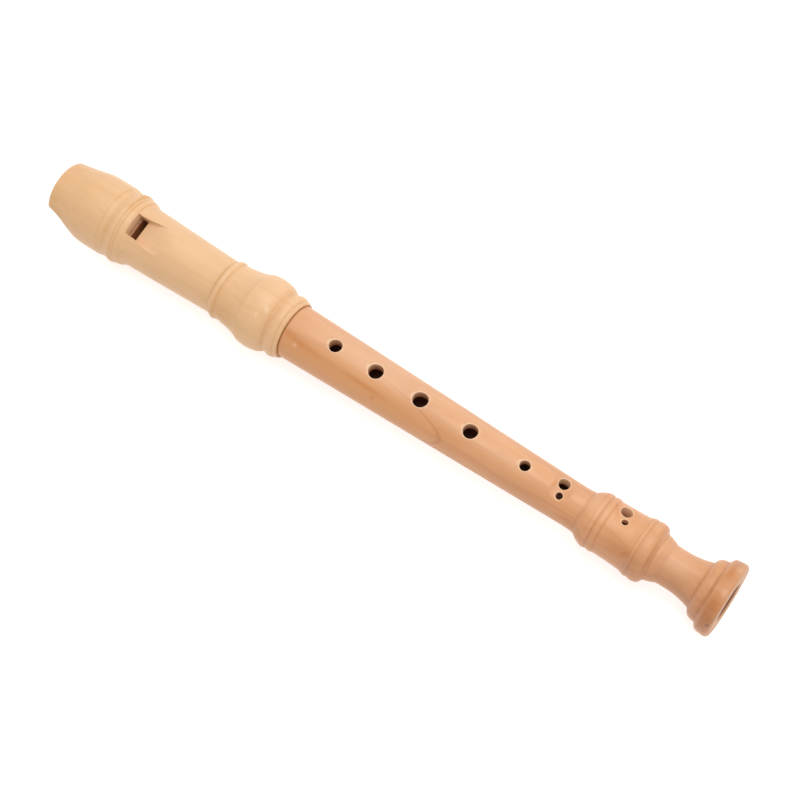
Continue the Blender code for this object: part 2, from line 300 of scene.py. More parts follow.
def carve(piece, cutters):
    """Takes the cutters away from the piece and removes them."""
    group = bpy.data.collections.new(piece.name + "_cutters")
    bpy.context.scene.collection.children.link(group)
    for cutter in cutters:
        group.objects.link(cutter)
    boolean = piece.modifiers.new("carve", "BOOLEAN")
    boolean.operation = "DIFFERENCE"
    boolean.solver = "MANIFOLD"
    boolean.operand_type = "COLLECTION"
    boolean.collection = group
    bpy.context.view_layer.update()
    graph = bpy.context.evaluated_depsgraph_get()
    carved = bpy.data.meshes.new_from_object(piece.evaluated_get(graph))
    piece.modifiers.clear()
    piece.data = carved
    for cutter in cutters:
        bpy.data.objects.remove(cutter)
    bpy.data.collections.remove(group)
    triangles = sum(len(face.vertices) - 2 for face in carved.polygons)
    print(piece.name, "triangles", triangles, "open edges", open_edges(carved))


def smooth(piece, degrees=38):
    """Smooth shading, with a crease wherever two faces meet at more than the given angle."""
    piece.data.shade_smooth()
    piece.data.set_sharp_from_angle(angle=math.radians(degrees))


# %% [markdown]
# The two lowest pairs of holes sit in shallow dishes, where a finger finds them. A dish is taken off the
# turned radius before the mesh is made: its depth falls off as a parabola along and round the tube, and a
# soft minimum rounds the edge where it runs out.

# %% Finger dishes
DISHES = (
    (253.35, -0.35, 4.7, 33, 1.0),  # middle along and round (degrees), half sizes along and round, depth
    (280.4, 20.4, 4.6, 29, 1.0),
)
DISH_EASE = 0.06


def body_radius(x, degrees):
    """Radius of the body at any distance and angle: the outline less each dish's depth
    d (1 - (dx / a)^2 - (turn / b)^2), with its edge eased by (d + sqrt(d^2 + ease^2)) / 2."""
    radius = np.interp(x, BODY_X, BODY_R)
    for middle, turn, half_long, half_round, depth in DISHES:
        across = (degrees - turn + 180) % 360 - 180
        deep = depth * (1 - ((x - middle) / half_long) ** 2 - (across / half_round) ** 2)
        radius = radius - (deep + np.sqrt(deep**2 + DISH_EASE**2)) / 2
    return radius


# %% [markdown]
# The body is one closed surface: out along the turned outline, in over the foot's end face, back up the
# bore, which narrows towards the foot as a recorder's does, and round the tenon with its groove for the
# cork.

# %% Turn the body
SIDES = 192
TENON_START = 102.1
TENON_RADIUS = 9.9
CORK_GROOVE = (105.1, 117.1, 8.9)
FOOT_MOUTH = 8.5
BORE_AT_FOOT = 5.3
BORE_AT_TENON = 7.0

groove_start, groove_end, groove_radius = CORK_GROOVE
inner_corners = (
    (LENGTH, BODY_R[-1]),
    (LENGTH, FOOT_MOUTH + 0.5),
    (LENGTH - 0.2, FOOT_MOUTH + 0.15),
    (LENGTH - 0.6, FOOT_MOUTH - 0.1),
    (LENGTH - 12, BORE_AT_FOOT),
    (TENON_START, BORE_AT_TENON),
    (TENON_START, TENON_RADIUS - 0.4),
    (TENON_START + 0.4, TENON_RADIUS),
    (groove_start, TENON_RADIUS),
    (groove_start, groove_radius),
    (groove_end, groove_radius),
    (groove_end, TENON_RADIUS),
    (SHOULDER, TENON_RADIUS),
    (SHOULDER, BODY_R[0]),
)
dish_stretches = [(middle - half_long - 1, middle + half_long + 1) for middle, _, half_long, _, _ in DISHES]
outer_x = ring_places(BODY_X, BODY_R, [(127, 130), (166, 170), *dish_stretches])
inner = filled_in(inner_corners, 5)[1:-1]
side_degrees = np.arange(SIDES) * 360 / SIDES
outer_r = body_radius(outer_x[:, None], side_degrees[None, :])
body_x = np.concatenate((outer_x, inner[:, 0]))
body_r = np.concatenate((outer_r, np.repeat(inner[:, 1:], SIDES, axis=1)))
body = skin("body_wood_skin", turned(body_x, body_r, SIDES))
print("rings on the body", len(outer_x), "outside and", len(inner), "inside")

# %% [markdown]
# A finger hole is drilled, and then its edge is eased with a twist of sandpaper, which leaves a thin pale
# rim. The cutter does both: it comes straight down, and near the surface it opens in a quarter circle that
# follows the round of the tube, so the rim is equally wide all round.

# %% Holes with eased rims
HOLES = (
    (143.9, 0.0, 5.6),  # from the tip, degrees round from the hole line, diameter
    (164.0, 0.0, 6.4),
    (185.9, 0.0, 6.6),
    (210.1, 0.0, 6.3),
    (236.0, 0.0, 4.5),
    (252.9, 18.6, 4.7),
    (253.8, -19.3, 2.9),
    (279.5, 33.5, 4.8),
    (281.3, 7.4, 2.8),
    (138.1, 180.0, 5.6),  # thumb hole
)
RIM = 0.45
HOLE_SIDES = 72
HOLE_ROWS = 8  # in the rim, and again in the wall under it
HOLE_BOTTOM = 2.0  # over the bore's axis, so a cutter ends inside the bore
MEAN_RADIUS = 9.0  # of the body, to turn a step sideways into degrees
PROUD = 0.02  # how far a cutter's edge stands over the surface that it opens
OVER = 22.0  # clear of every radius


def hole_cutter(number, x, degrees, diameter):
    """Rows of a round cutter along a radius. At angle a and distance p from its own axis, the surface stands
    at sqrt(R^2 - (p sin a)^2); the rim is a quarter circle below that, p = d/2 + RIM (1 - sin t)."""
    around = np.linspace(0, 2 * math.pi, HOLE_SIDES, endpoint=False)[None, :]
    t = np.linspace(0, math.pi / 2, HOLE_ROWS)[:, None]
    p = diameter / 2 + RIM * (1 - np.sin(t))
    along, aside = p * np.cos(around), p * np.sin(around)
    local = body_radius(x + along, degrees + np.degrees(np.arcsin(aside / MEAN_RADIUS)))
    rim_height = np.sqrt(local**2 - aside**2) + PROUD - RIM * (1 - np.cos(t))
    lowest = rim_height[-1].min() - 0.1
    wall_height = np.linspace(lowest, HOLE_BOTTOM, HOLE_ROWS)[:, None] + 0 * around
    heights = np.concatenate((OVER + 0 * around, rim_height, wall_height))
    p = np.concatenate((p[:1], p, np.full((HOLE_ROWS, 1), diameter / 2)))
    along, aside = p * np.cos(around), p * np.sin(around)
    c, s = math.cos(math.radians(degrees)), math.sin(math.radians(degrees))
    points = (x + along + 0 * heights, aside * c + heights * s, heights * c - aside * s)
    return skin(f"hole_{number}", np.stack(points, axis=-1), ring=False)


carve(body, [hole_cutter(number, *hole) for number, hole in enumerate(HOLES, start=1)])

# %% [markdown]
# The head is turned in the same way, with a straight bore that widens into the socket. Its window stands
# turned a little against the finger holes, as a player sets it, so its cutters are made upright and then
# turned round the bore's axis together.

# %% Turn the head
HEAD_TURN = math.radians(9.8)
HEAD_BORE = 7.3
SOCKET_START = 101.8
SOCKET_RADIUS = 10.3
head_inner_corners = (
    (HEAD_LENGTH, HEAD_R[-1]),
    (HEAD_LENGTH, SOCKET_RADIUS + 0.35),
    (HEAD_LENGTH - 0.35, SOCKET_RADIUS),
    (SOCKET_START, SOCKET_RADIUS),
    (SOCKET_START, HEAD_BORE),
    (0, HEAD_BORE),
    (0, HEAD_R[0]),
)
head_outer_x = ring_places(HEAD_X, HEAD_R, [(35, 38), (39, 62), (102.5, 104), (108.3, 113.2)])
head_inner = filled_in(head_inner_corners, 5)[1:-1]
head_x = np.concatenate((head_outer_x, head_inner[:, 0]))
head_r = np.concatenate((np.interp(head_outer_x, HEAD_X, HEAD_R), head_inner[:, 1]))
head = skin("head_wood_skin", turned(head_x, head_r, SIDES))
print("rings on the head", len(head_outer_x), "outside and", len(head_inner), "inside")


def with_head_turn(points):
    """Points turned round the bore's axis, as far as the head is."""
    y, z = points[..., 1], points[..., 2]
    c, s = math.cos(HEAD_TURN), math.sin(HEAD_TURN)
    return np.stack((points[..., 0], y * c - z * s, y * s + z * c), axis=-1)


def slab(name, outline, half_width):
    """A flat outline of (distance, height) points, carried sideways from -half_width to +half_width."""
    outline = np.array(outline)
    side = np.array((-half_width, half_width))[:, None] + np.zeros(len(outline))
    points = np.stack((outline[:, 0] + 0 * side, side, outline[:, 1] + 0 * side), axis=-1)
    return skin(name, with_head_turn(points), ring=False)


# %% [markdown]
# The beak is hollowed underneath so that it fits a lower lip. The saw's path is a power curve: flat under
# the tip, then steeper and steeper until it leaves the wood. The same cutter goes through the block, so
# the two end flush.

# %% The beak's hollow
BEAK_HEIGHT = 6.5
BEAK_LENGTH = 28.0
BEAK_DROP = 22.8
BEAK_POWER = 2.23
BEFORE_TIP = -5.0  # where the cutters of beak and windway start, clear of the wood
FAR_BELOW = -45.0


def beak_cutter(name):
    """Everything under height = BEAK_HEIGHT - BEAK_DROP t^BEAK_POWER, where t = distance / BEAK_LENGTH."""
    t = np.linspace(0, 1.18, 90)  # past 1, because the cut leaves the wood a little later
    curve = np.stack((BEAK_LENGTH * t, BEAK_HEIGHT - BEAK_DROP * t**BEAK_POWER), axis=1)
    corners = ((BEFORE_TIP, BEAK_HEIGHT), *curve, (curve[-1, 0], FAR_BELOW), (BEFORE_TIP, FAR_BELOW))
    return slab(name, corners, OVER)


# %% [markdown]
# Air runs through a flat slot over the block, the windway, crosses the window and meets the edge of the
# ramp, the labium. Inside, the labium is thinned from below. One slab cuts the slot, the lower part of the
# window and that hollow.

# %% The windway and the hollow under the labium
WINDWAY_HALF = 5.1
WINDWAY_ROOF = 9.4
WINDOW_START = 40.0
LABIUM_START = 44.0
LABIUM_HEIGHT = 8.9
LABIUM_UNDERSIDE = 8.45
UNDERCUT_END = 53.0
bore_at_side = math.sqrt(HEAD_BORE**2 - WINDWAY_HALF**2) - 0.3
windway_outline = (
    (BEFORE_TIP, 0),
    (UNDERCUT_END, 0),
    (UNDERCUT_END, bore_at_side),
    (LABIUM_START, LABIUM_UNDERSIDE),
    (LABIUM_START, LABIUM_HEIGHT + 1),
    (WINDOW_START, LABIUM_HEIGHT + 1),
    (WINDOW_START, WINDWAY_ROOF),
    (BEFORE_TIP, WINDWAY_ROOF),
)
print("windway", 2 * WINDWAY_HALF, "wide; window", LABIUM_START - WINDOW_START, "long")

# %% [markdown]
# The ramp climbs from the labium until it comes out of the wood, and its cheeks spread a little on the
# way. A knife leaves a small round where a cheek meets the ramp, and sanding rounds its upper edge. Both
# rounds shrink with the cheek, so they die out where it does.

# %% The window and the ramp
RAMP_SLOPE = math.tan(math.radians(16.5))
RAMP_SPREAD = math.tan(math.radians(8.6))
INNER_ROUND = 0.35
OUTER_ROUND = 0.28
RAMP_FADE = 1.2
SECTION_STEP = 0.4
SECTIONS_END = 64.0  # past the place where the ramp comes out of the wood
ROUND_POINTS = 7
FLOOR_POINTS = 9


def window_cutter():
    """Sections across the head, one for each distance x. The floor is z = labium + slope (x - labium start).
    From the middle out: the floor, a quarter circle up into the cheek, the cheek, and a quarter circle out
    onto the turned surface z = sqrt(R^2 - y^2)."""
    on_ramp = np.arange(LABIUM_START + SECTION_STEP, SECTIONS_END, SECTION_STEP)
    x = np.concatenate(((WINDOW_START, LABIUM_START), on_ramp))[:, None]
    radius = np.interp(x, HEAD_X, HEAD_R)
    floor = LABIUM_HEIGHT + RAMP_SLOPE * np.maximum(x - LABIUM_START, 0)
    half = WINDWAY_HALF + RAMP_SPREAD * np.maximum(x - LABIUM_START, 0)
    cheek = np.maximum(np.sqrt(radius**2 - half**2) - floor, 0)
    inner, outer = np.minimum(INNER_ROUND, 0.3 * cheek), np.minimum(OUTER_ROUND, 0.4 * cheek)
    t = np.linspace(0, math.pi / 2, ROUND_POINTS)[None, :]
    floor_y = (half - inner) * np.linspace(0, 1, FLOOR_POINTS)[None, :-1]
    low_y = half - inner * (1 - np.sin(t))
    low_z = floor + inner * (1 - np.cos(t))
    high_y = half + outer * (1 - np.sin(t[:, ::-1]))
    high_z = np.sqrt(radius**2 - high_y**2) + PROUD - outer * (1 - np.cos(t[:, ::-1]))
    high_z = np.maximum(high_z, floor + inner + 0.01)
    y = np.concatenate((floor_y, low_y, high_y, high_y[:, -1:]), axis=1)
    z = np.concatenate((floor + 0 * floor_y, low_z, high_z), axis=1)
    turned_z = np.sqrt(radius**2 - y[:, :-1] ** 2)
    over = z - turned_z
    near = np.clip(1 - np.abs(over) / RAMP_FADE, 0, 1) * (cheek < INNER_ROUND)
    faded = np.minimum(z, turned_z) - near**2 * RAMP_FADE / 4 + 0.015 + np.maximum(over - RAMP_FADE, 0)
    z = np.where(near > 0, faded, z)
    z = np.concatenate((z, OVER + 0 * floor), axis=1)
    y = np.concatenate((y, -y[:, :0:-1]), axis=1)
    z = np.concatenate((z, z[:, :0:-1]), axis=1)
    return skin("window_cutter", with_head_turn(np.stack((x + 0 * y, y, z), axis=-1)), ring=False)


carve(head, [beak_cutter("head_beak"), slab("windway", windway_outline, WINDWAY_HALF), window_cutter()])

# %% [markdown]
# The block is a plug of red cedar that fills the bore under the windway. Its top is a raised flat bed, and
# its inner end is chamfered where the air leaves. Its section is a circle with the bed's rectangle joined
# to it, which is one formula in polar form: the larger of the two distances from the axis.

# %% The block
BLOCK_RADIUS = 7.24
BED_HALF = 5.02
BED_HEIGHT = 8.4
CHAMFER = 1.6
chamfer_start = WINDOW_START - CHAMFER
bed_corner = math.atan2(BED_HALF, BED_HEIGHT)
bed_foot = math.asin(BED_HALF / BLOCK_RADIUS)
round_angle = np.linspace(-math.pi, math.pi, 144, endpoint=False)
block_angle = np.sort(np.concatenate((round_angle, (-bed_foot, -bed_corner, bed_corner, bed_foot))))
facing_up = np.cos(block_angle) > 0.01
to_bed = BED_HEIGHT / np.where(facing_up, np.cos(block_angle), 1)
to_bed_side = BED_HALF / np.maximum(np.abs(np.sin(block_angle)), 0.01)
bed_reach = np.minimum(to_bed, to_bed_side)
block_reach = np.maximum(BLOCK_RADIUS, np.where(facing_up, bed_reach, 0))
chamfer_x = np.linspace(WINDOW_START - 1.3, WINDOW_START, 6)
block_x = np.concatenate((np.linspace(0, chamfer_start, 30), chamfer_x))
block_top = BED_HEIGHT - np.maximum(block_x - chamfer_start, 0)
block_z = np.minimum(block_reach * np.cos(block_angle), block_top[:, None])
block_y = block_reach * np.sin(block_angle) + 0 * block_z
block_points = np.stack((block_x[:, None] + 0 * block_z, block_y, block_z), axis=-1)
block = skin("block_skin", with_head_turn(block_points), ring=False)
carve(block, [beak_cutter("block_beak")])

# %% [markdown]
# A strip of cork is glued into the tenon's groove and greased, so that the head can be pulled and turned.
# It is a short tube with rounded shoulders. It only shows when the head is pulled out.

# %% The cork
CORK_CORNERS = (
    (105.2, 9.0),  # distance, radius
    (105.2, 9.8),
    (105.5, 10.08),
    (106.2, 10.18),
    (111.1, 10.2),
    (116.0, 10.18),
    (116.7, 10.08),
    (117.0, 9.8),
    (117.0, 9.0),
    (105.2, 9.0),
)
cork_path = filled_in(CORK_CORNERS, 0.8)[:-1]
cork = skin("cork_ring_skin", turned(cork_path[:, 0], cork_path[:, 1], SIDES))
print("rings on the cork", len(cork_path))

# %% [markdown]
# Some colour follows the turning and the cutting: the creases are darkened, partly by sanding dust and finish
# and partly as painted shade; edges are rubbed pale; the rims of the holes are bare wood with a painted
# highlight; the upper walls of the holes and the window's faces get painted light, and the insides of the
# holes and the bore get painted shade. Other colour belongs to the piece of wood: stains, browner wood, pale
# spots;
# among these the body's lower side carries painted shade, the upper sides carry painted sheen and the head's
# swelling three painted glints. Vertex painting could do both, but then nothing would say why a spot is where
# it is. Here each is worked out at every vertex from its distance and angle, and stored as an attribute that
# a
# material can read: crease, pale, stain, brown or inside.

# %% Tools for attributes
CREASE_WIDTH = 0.3
SURFACE_BAND = 0.06  # a vertex nearer than this to the outline belongs to the turned surface


def store(piece, name, values):
    """Keeps one number for each vertex under a name."""
    layer = piece.data.attributes.new(name, "FLOAT", "POINT")
    layer.data.foreach_set("value", np.clip(values, 0, 1).astype(np.float32))


def bend(x, r):
    """How the outline bends at each place, in 1/mm, softened over CREASE_WIDTH: above 0 in a crease and
    below 0 on an edge."""
    along, out = np.gradient(x), np.gradient(r)
    bending = np.gradient(np.arctan2(out, along)) / np.hypot(along, out)
    reach = int(3 * CREASE_WIDTH / FINE)
    bell = np.exp(-0.5 * (np.arange(-reach, reach + 1) * FINE / CREASE_WIDTH) ** 2)
    return np.convolve(np.pad(bending, reach, mode="edge"), bell / bell.sum(), mode="valid")


def spots(x, degrees, table):
    """The sum of soft ovals (distance, degrees, half length, half turn, slant in degrees per mm, strength):
    strength exp(-(dx / a)^2 - (turn / b)^2), where the turn follows the slant."""
    total = np.zeros(len(x))
    for middle, turn, half_long, half_round, slant, strength in table:
        along = x - middle
        around = (degrees - turn - slant * along + 180) % 360 - 180
        total += strength * np.exp(-((along / half_long) ** 2) - (around / half_round) ** 2)
    return total


def placed(piece):
    """For every vertex: its point, its radius and its degrees round from the hole line."""
    where = to_maker(piece.data)
    return where, np.hypot(where[:, 1], where[:, 2]), np.degrees(np.arctan2(where[:, 1], where[:, 2]))


def creases_and_edges(bending, strength):
    """Dark where the outline bends in by more than 0.08 per mm, and pale where it bends out by 0.25."""
    return np.clip(bending - 0.08, 0, 1) * strength, np.clip(-bending - 0.25, 0, 1) * 0.2


# %% [markdown]
# This body has orange streaks below its shoulder, a dark curve on the barrel, browner wood towards the foot
# and a red-brown bell; the foot's lower side also carries painted shade. Each is noted as a soft oval, as a
# maker would note a flaw in a plank: where it is, how far it reaches, how it slants and how strong it is.

# %% Stains of the body
BODY_STAINS = (
    # distance, degrees round, half length, half turn, slant, strength
    (132, -35, 9, 6.5, -0.35, 1.1),  # orange streaks below the shoulder
    (125, -30, 3, 8.0, 0.0, 0.4),
    (147, -37, 10, 6.0, -0.2, 0.35),
    (163, -40, 11, 6.5, -0.25, 0.85),
    (168.1, -55.7, 0.6, 3.5, 0.0, 1.6),  # a fleck
    (126, 18, 3, 7.0, 0.0, 0.35),
    (199.5, 8, 2.5, 8.0, 0.0, 0.35),
    (199, -42, 2.0, 14.0, 0.0, 0.25),
    (249.4, -5, 0.7, 15.0, 0.0, 0.4),  # upper edges of the dishes
    (275.5, 26, 2.0, 7.0, -7.6, 0.6),
    (260, -66, 4, 12.0, 0.0, 0.4),
    (267.5, -62, 1.4, 20.0, -2.0, 0.35),
    (269.3, 46, 0.9, 16.0, 0.0, 0.6),
    (269.9, -10, 0.45, 60.0, 0.0, 0.4),
    (274.9, -10, 0.45, 70.0, 0.0, 0.45),
    (289.5, -10, 0.4, 70.0, 0.0, 0.4),
    (284, -42, 6, 17.0, 0.0, 0.45),  # dark curve on the barrel
    (282, -57, 4, 5.0, 0.6, 0.4),
    (287.2, -50, 1.8, 6.0, 4.5, 0.7),
    (290.3, 45, 0.7, 18.0, 0.0, 0.5),
    (295.6, 35, 0.9, 40.0, -0.4, 0.8),
    (296.4, -50, 0.6, 40.0, 0.0, 0.3),
    # painted shade on the lower side of the foot
    (300, -60, 16, 28.0, 0.0, 0.3),
    (326.5, -20, 3.5, 120.0, 0.0, 0.45),  # red-brown on the bell
    (327, -52, 4, 26.0, 0.0, 1.2),
    (325.6, 22, 1.4, 14.0, 4.0, 0.7),
    (324.5, 2, 1.0, 7.0, -6.0, 0.4),
)

# %% Painted shade on the body's lower side and painted sheen on its upper side, with browner and paler wood
BODY_SHADE_AND_BROWN = (
    # painted shade on the lower side towards the foot, partly browner wood
    (238, -60, 28, 30.0, 0.0, 0.14),  # browner wood towards the foot
    (284, -54, 14, 28.0, 0.0, 0.17),
    (312, -55, 13, 36.0, 0.0, 0.20),
    (312, 10, 20, 300.0, 0.0, 0.07),
    (327, -58, 5, 34.0, 0.0, 0.25),
    (328.5, -67, 0.5, 2.5, 0.0, 0.9),
    (264, -74, 5, 20.0, 0.0, 0.15),
    (291, -70, 4, 22.0, 0.0, 0.2),
    (326, 48, 5, 14.0, 0.0, 0.2),
    (326.5, 14, 4, 30.0, 0.0, 0.08),
    (318, -80, 12, 18.0, 0.0, 0.16),
)
PALE_AND_SHEEN_SPOTS = (
    # painted sheen on the upper side; the small rows below are pale spots in the wood
    (190, 30, 75, 36.0, 0.0, 0.20),  # paler upper side
    (157, 8, 32, 34.0, 0.0, 0.24),
    (222, -14, 26, 12.0, 0.0, 0.16),
    (267, 2, 9, 24.0, 0.0, 0.16),
    (306, 5, 12, 50.0, 0.0, 0.15),
    (128.9, -43.8, 0.7, 4.0, 0.0, 0.4),
    (328, 32, 1.2, 8.0, 0.0, 0.25),
    (328, -14, 1.0, 5.0, 0.0, 0.25),
)

# %% [markdown]
# The eased rim of a hole is painted pale, as bare wood with a painted highlight, and the upper part of its
# wall gets painted light; deeper down it gets painted shade. A vertex is in a hole if it lies within the
# hole's radius of its axis, on the side the hole opens to.

# %% Rims and walls of the holes
BELL_START = 312.0
MOUTH_DEPTH = 12.5
BORE_SIDE = 4.0  # a hole's vertices lie further out than this from the bore's axis
where, radius, degrees = placed(body)
x = where[:, 0]
depth = body_radius(x, degrees) - radius
on_surface = (np.abs(depth) < SURFACE_BAND) & (x > SHOULDER - 0.1)
rim = np.zeros(len(where))
in_hole = np.zeros(len(where), bool)
for middle, turn, diameter in HOLES:
    c, s = math.cos(math.radians(turn)), math.sin(math.radians(turn))
    this_side = where[:, 1] * s + where[:, 2] * c > BORE_SIDE
    p = np.hypot(x - middle, where[:, 1] * c - where[:, 2] * s) - diameter / 2
    at_rim = this_side & (depth > -0.1) & (depth < RIM + 0.1)
    on_wall = this_side & (depth > RIM + 0.1) & (p < 0.05)
    # Pale rim: bare wood and a painted highlight.
    rim += at_rim * np.clip(1 - np.abs(p - 0.16) / 0.28, 0, 1)
    # Painted light on the upper wall, fading with depth.
    rim += on_wall * np.clip(0.75 - depth / 6, 0, 1)
    in_hole |= this_side & (p < RIM + 0.02)
print("vertices on hole rims", int((rim > 0.1).sum()))

# %% Store the body's marks
foot_end = np.clip((x - LENGTH + 0.5) / 0.4, 0, 1) * (radius > FOOT_MOUTH - 0.3)
bending = np.interp(x, BODY_X, bend(BODY_X, BODY_R))
crease, worn = creases_and_edges(bending, np.where(x > BELL_START, 0.4, 0.8))  # the bell's are cleaner
pale = rim + 0.3 * foot_end + on_surface * (worn + spots(x, degrees, PALE_AND_SHEEN_SPOTS))
# Painted shade in the holes, and darker still in the bore.
inside = np.where(in_hole, (depth - RIM) / 14, np.where(x > LENGTH - MOUTH_DEPTH, 0.8, 0.9)) * (depth > RIM)
# Creases darkened: partly dust and finish, partly painted shade.
store(body, "crease", on_surface * crease)
store(body, "pale", pale)
store(body, "stain", on_surface * spots(x, degrees, BODY_STAINS))
store(body, "brown", on_surface * spots(x, degrees, BODY_SHADE_AND_BROWN))
store(body, "inside", inside * (1 - foot_end) * (x > SHOULDER))
print("vertices in creases", int((on_surface & (bending > 0.3)).sum()))

# %% [markdown]
# The head is cleaner. Its turned lines have kept some dirt, mostly on the upper side. Its upper side carries
# painted sheen, the swelling three small painted glints, and the lower side before the swelling painted
# shade. The window's upstream face and its ramp near the labium get painted light where the window shades
# them, with the ramp's cut wood a little paler too, and the cheeks' edges get a painted highlight.

# %% Stains of the head, with painted shade, painted sheen and painted glints
HEAD_STAINS = (
    # distance, degrees round, half length, half turn, slant, strength
    (4, 0, 16, 400.0, 0.0, 0.22),  # darker towards the tip
    (4, -60, 8, 25.0, 0.0, 0.3),
    (12, -72, 12, 20.0, 0.0, 0.25),
    (60, -75, 60, 22.0, 0.0, 0.12),
    # painted shade on the lower side before the swelling
    (96, -68, 8, 22.0, 0.0, 0.8),  # before the swelling
    (28.5, 10, 0.5, 70.0, 0.0, 0.5),  # turned lines
    (32.0, -40, 1.5, 30.0, 0.0, 0.35),
    (35.6, 30, 0.6, 50.0, -0.6, 0.9),
    (35.3, 48, 0.9, 16.0, 0.0, 1.0),
    (37.1, 20, 0.35, 70.0, -0.6, 0.8),
    (39.6, 35, 0.35, 30.0, 0.0, 0.9),
    (85.9, 40, 0.8, 28.0, 0.0, 0.8),
    (86.2, 0, 0.5, 60.0, 0.0, 0.7),
    (89.6, 10, 0.4, 80.0, 0.0, 0.7),
    (101.5, -10, 0.7, 50.0, 0.0, 0.3),
    (113.5, 35, 1.2, 35.0, 0.0, 0.4),
    (120.5, 30, 0.8, 35.0, 0.0, 0.6),
    (60, -95, 8, 20.0, 0.0, 0.25),
    (20, 130, 7, 25.0, 0.5, 0.3),
)
HEAD_SHEEN_AND_GLINTS = (
    # painted sheen on the upper side
    (75, 12, 48, 26.0, 0.0, 0.10),  # paler upper side
    # three painted glints on the swelling
    (112.2, -15, 0.7, 4.0, -3.0, 0.75),
    (109.4, -29, 0.6, 3.0, -3.0, 0.65),
    (103.4, -14, 0.5, 3.0, -3.0, 0.35),
)

# %% Painted light in the window
where, radius, degrees = placed(head)
x = where[:, 0]
on_surface = np.abs(np.interp(x, HEAD_X, HEAD_R) - radius) < SURFACE_BAND
aside = where[:, 1] * math.cos(HEAD_TURN) + where[:, 2] * math.sin(HEAD_TURN)
upright = where[:, 2] * math.cos(HEAD_TURN) - where[:, 1] * math.sin(HEAD_TURN)
past = x - LABIUM_START
window_half = WINDWAY_HALF + RAMP_SPREAD * np.maximum(past, 0)
in_window = (np.abs(aside) < window_half + 0.35) & (radius < 14.8)
window_face = in_window & (np.abs(x - WINDOW_START) < 0.03) & (upright > WINDWAY_ROOF - 0.05)
ramp_floor = in_window & (past > -0.05) & (np.abs(upright - LABIUM_HEIGHT - RAMP_SLOPE * past) < 0.1)
beside = (past > -3.9) & (past < 14) & (np.abs(aside) > WINDWAY_HALF)
cheek_edge = in_window & beside & ~on_surface & (upright > LABIUM_HEIGHT)
fading = np.clip(1.1 - past / 10, 0, 1)
# Painted light where the window shades its upstream face and its ramp near the labium, with the ramp's cut
# wood a little paler too, and a painted highlight on the cheeks' edges.
window_light = 0.5 * window_face + 0.3 * ramp_floor * fading + 0.3 * cheek_edge
print("vertices with painted window light", int((window_light > 0).sum()))

# %% Store the head's marks
bending = np.interp(x, HEAD_X, bend(HEAD_X, HEAD_R))
crease, worn = creases_and_edges(bending, 0.8)
# Creases darkened: partly dust and finish, partly painted shade.
store(head, "crease", on_surface * crease)
store(head, "pale", window_light + on_surface * (worn + spots(x, degrees, HEAD_SHEEN_AND_GLINTS)))
store(head, "stain", on_surface * spots(x, degrees, HEAD_STAINS))
# Painted shade in the bore.
store(head, "inside", (radius < HEAD_BORE + 0.2) * 0.8)

# %% [markdown]
# Each finer surface now takes the place of its solid. It rides on the same moving body, so it turns and
# slides with the joints.

# %% Hand the surfaces over
for piece, body_name, node, slot in (
    (body, "body", "body_joint", "body_wood"),
    (head, "head", "head_joint", "head_wood"),
    (block, "block", "windway_block", "block_wood"),
    (cork, "cork_ring", "tenon_cork", "cork"),
):
    smooth(piece)
    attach(piece, body_name)
    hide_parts(node)
    print(piece.name, "stands for", node)

# %% [markdown]
# A material is a small network: each node takes numbers or colours in and gives one out. The helpers here
# make one node and its links in one line, so that the recipes below read as arithmetic.

# %% Small helpers for shader nodes


def add_node(tree, kind, inputs=(), **settings):
    """A new shader node, with its settings and its inputs: a socket is linked, and a value is set."""
    made = tree.nodes.new("ShaderNode" + kind)
    for name, value in settings.items():
        setattr(made, name, value)
    for name, value in dict(inputs).items():
        if isinstance(value, bpy.types.NodeSocket):
            tree.links.new(value, made.inputs[name])
        else:
            made.inputs[name].default_value = value
    return made


def stretched_noise(tree, vector, stretch, detail=3.0, roughness=0.55):
    """Noise whose features are 1 / stretch metres long along each axis."""
    mapping = add_node(tree, "Mapping", {"Vector": vector, "Scale": stretch})
    noise = {"Vector": mapping.outputs[0], "Scale": 1.0, "Detail": detail, "Roughness": roughness}
    return add_node(tree, "TexNoise", noise).outputs["Fac"]


def ramp(tree, value, low, high, to_low=0.0, to_high=1.0):
    """The value spread from low..high to to_low..to_high, with soft ends."""
    made = add_node(
        tree,
        "MapRange",
        {"Value": value, "From Min": low, "From Max": high, "To Min": to_low, "To Max": to_high},
        interpolation_type="SMOOTHSTEP",
    )
    return made.outputs["Result"]


def calc(tree, operation, first, second=0.0, third=0.0):
    """One step of arithmetic on sockets or numbers."""
    return add_node(tree, "Math", {0: first, 1: second, 2: third}, operation=operation).outputs[0]


def blend_colour(tree, factor, first, second, mode="MIX"):
    """Two colours mixed by a factor."""
    made = add_node(tree, "Mix", data_type="RGBA", blend_type=mode)
    for socket, value in ((made.inputs[0], factor), (made.inputs[6], first), (made.inputs[7], second)):
        if isinstance(value, bpy.types.NodeSocket):
            tree.links.new(value, socket)
        else:
            socket.default_value = (*value, 1) if isinstance(value, tuple) else value
    return made.outputs[2]


def attribute(tree, name):
    """The number that was stored at the vertices under a name; 0 where a piece has none."""
    return add_node(tree, "Attribute", attribute_name=name).outputs["Fac"]


# %% [markdown]
# Where the lathe cuts a growth ring at a flat angle, the ring shows as a long oval with a thin line round
# it. The body has a clear one below the shoulder, more orange inside than out. Its place is given as
# distance and angle round the bore, and a slow noise makes its edge waver.

# %% A growth ring cut to a long oval


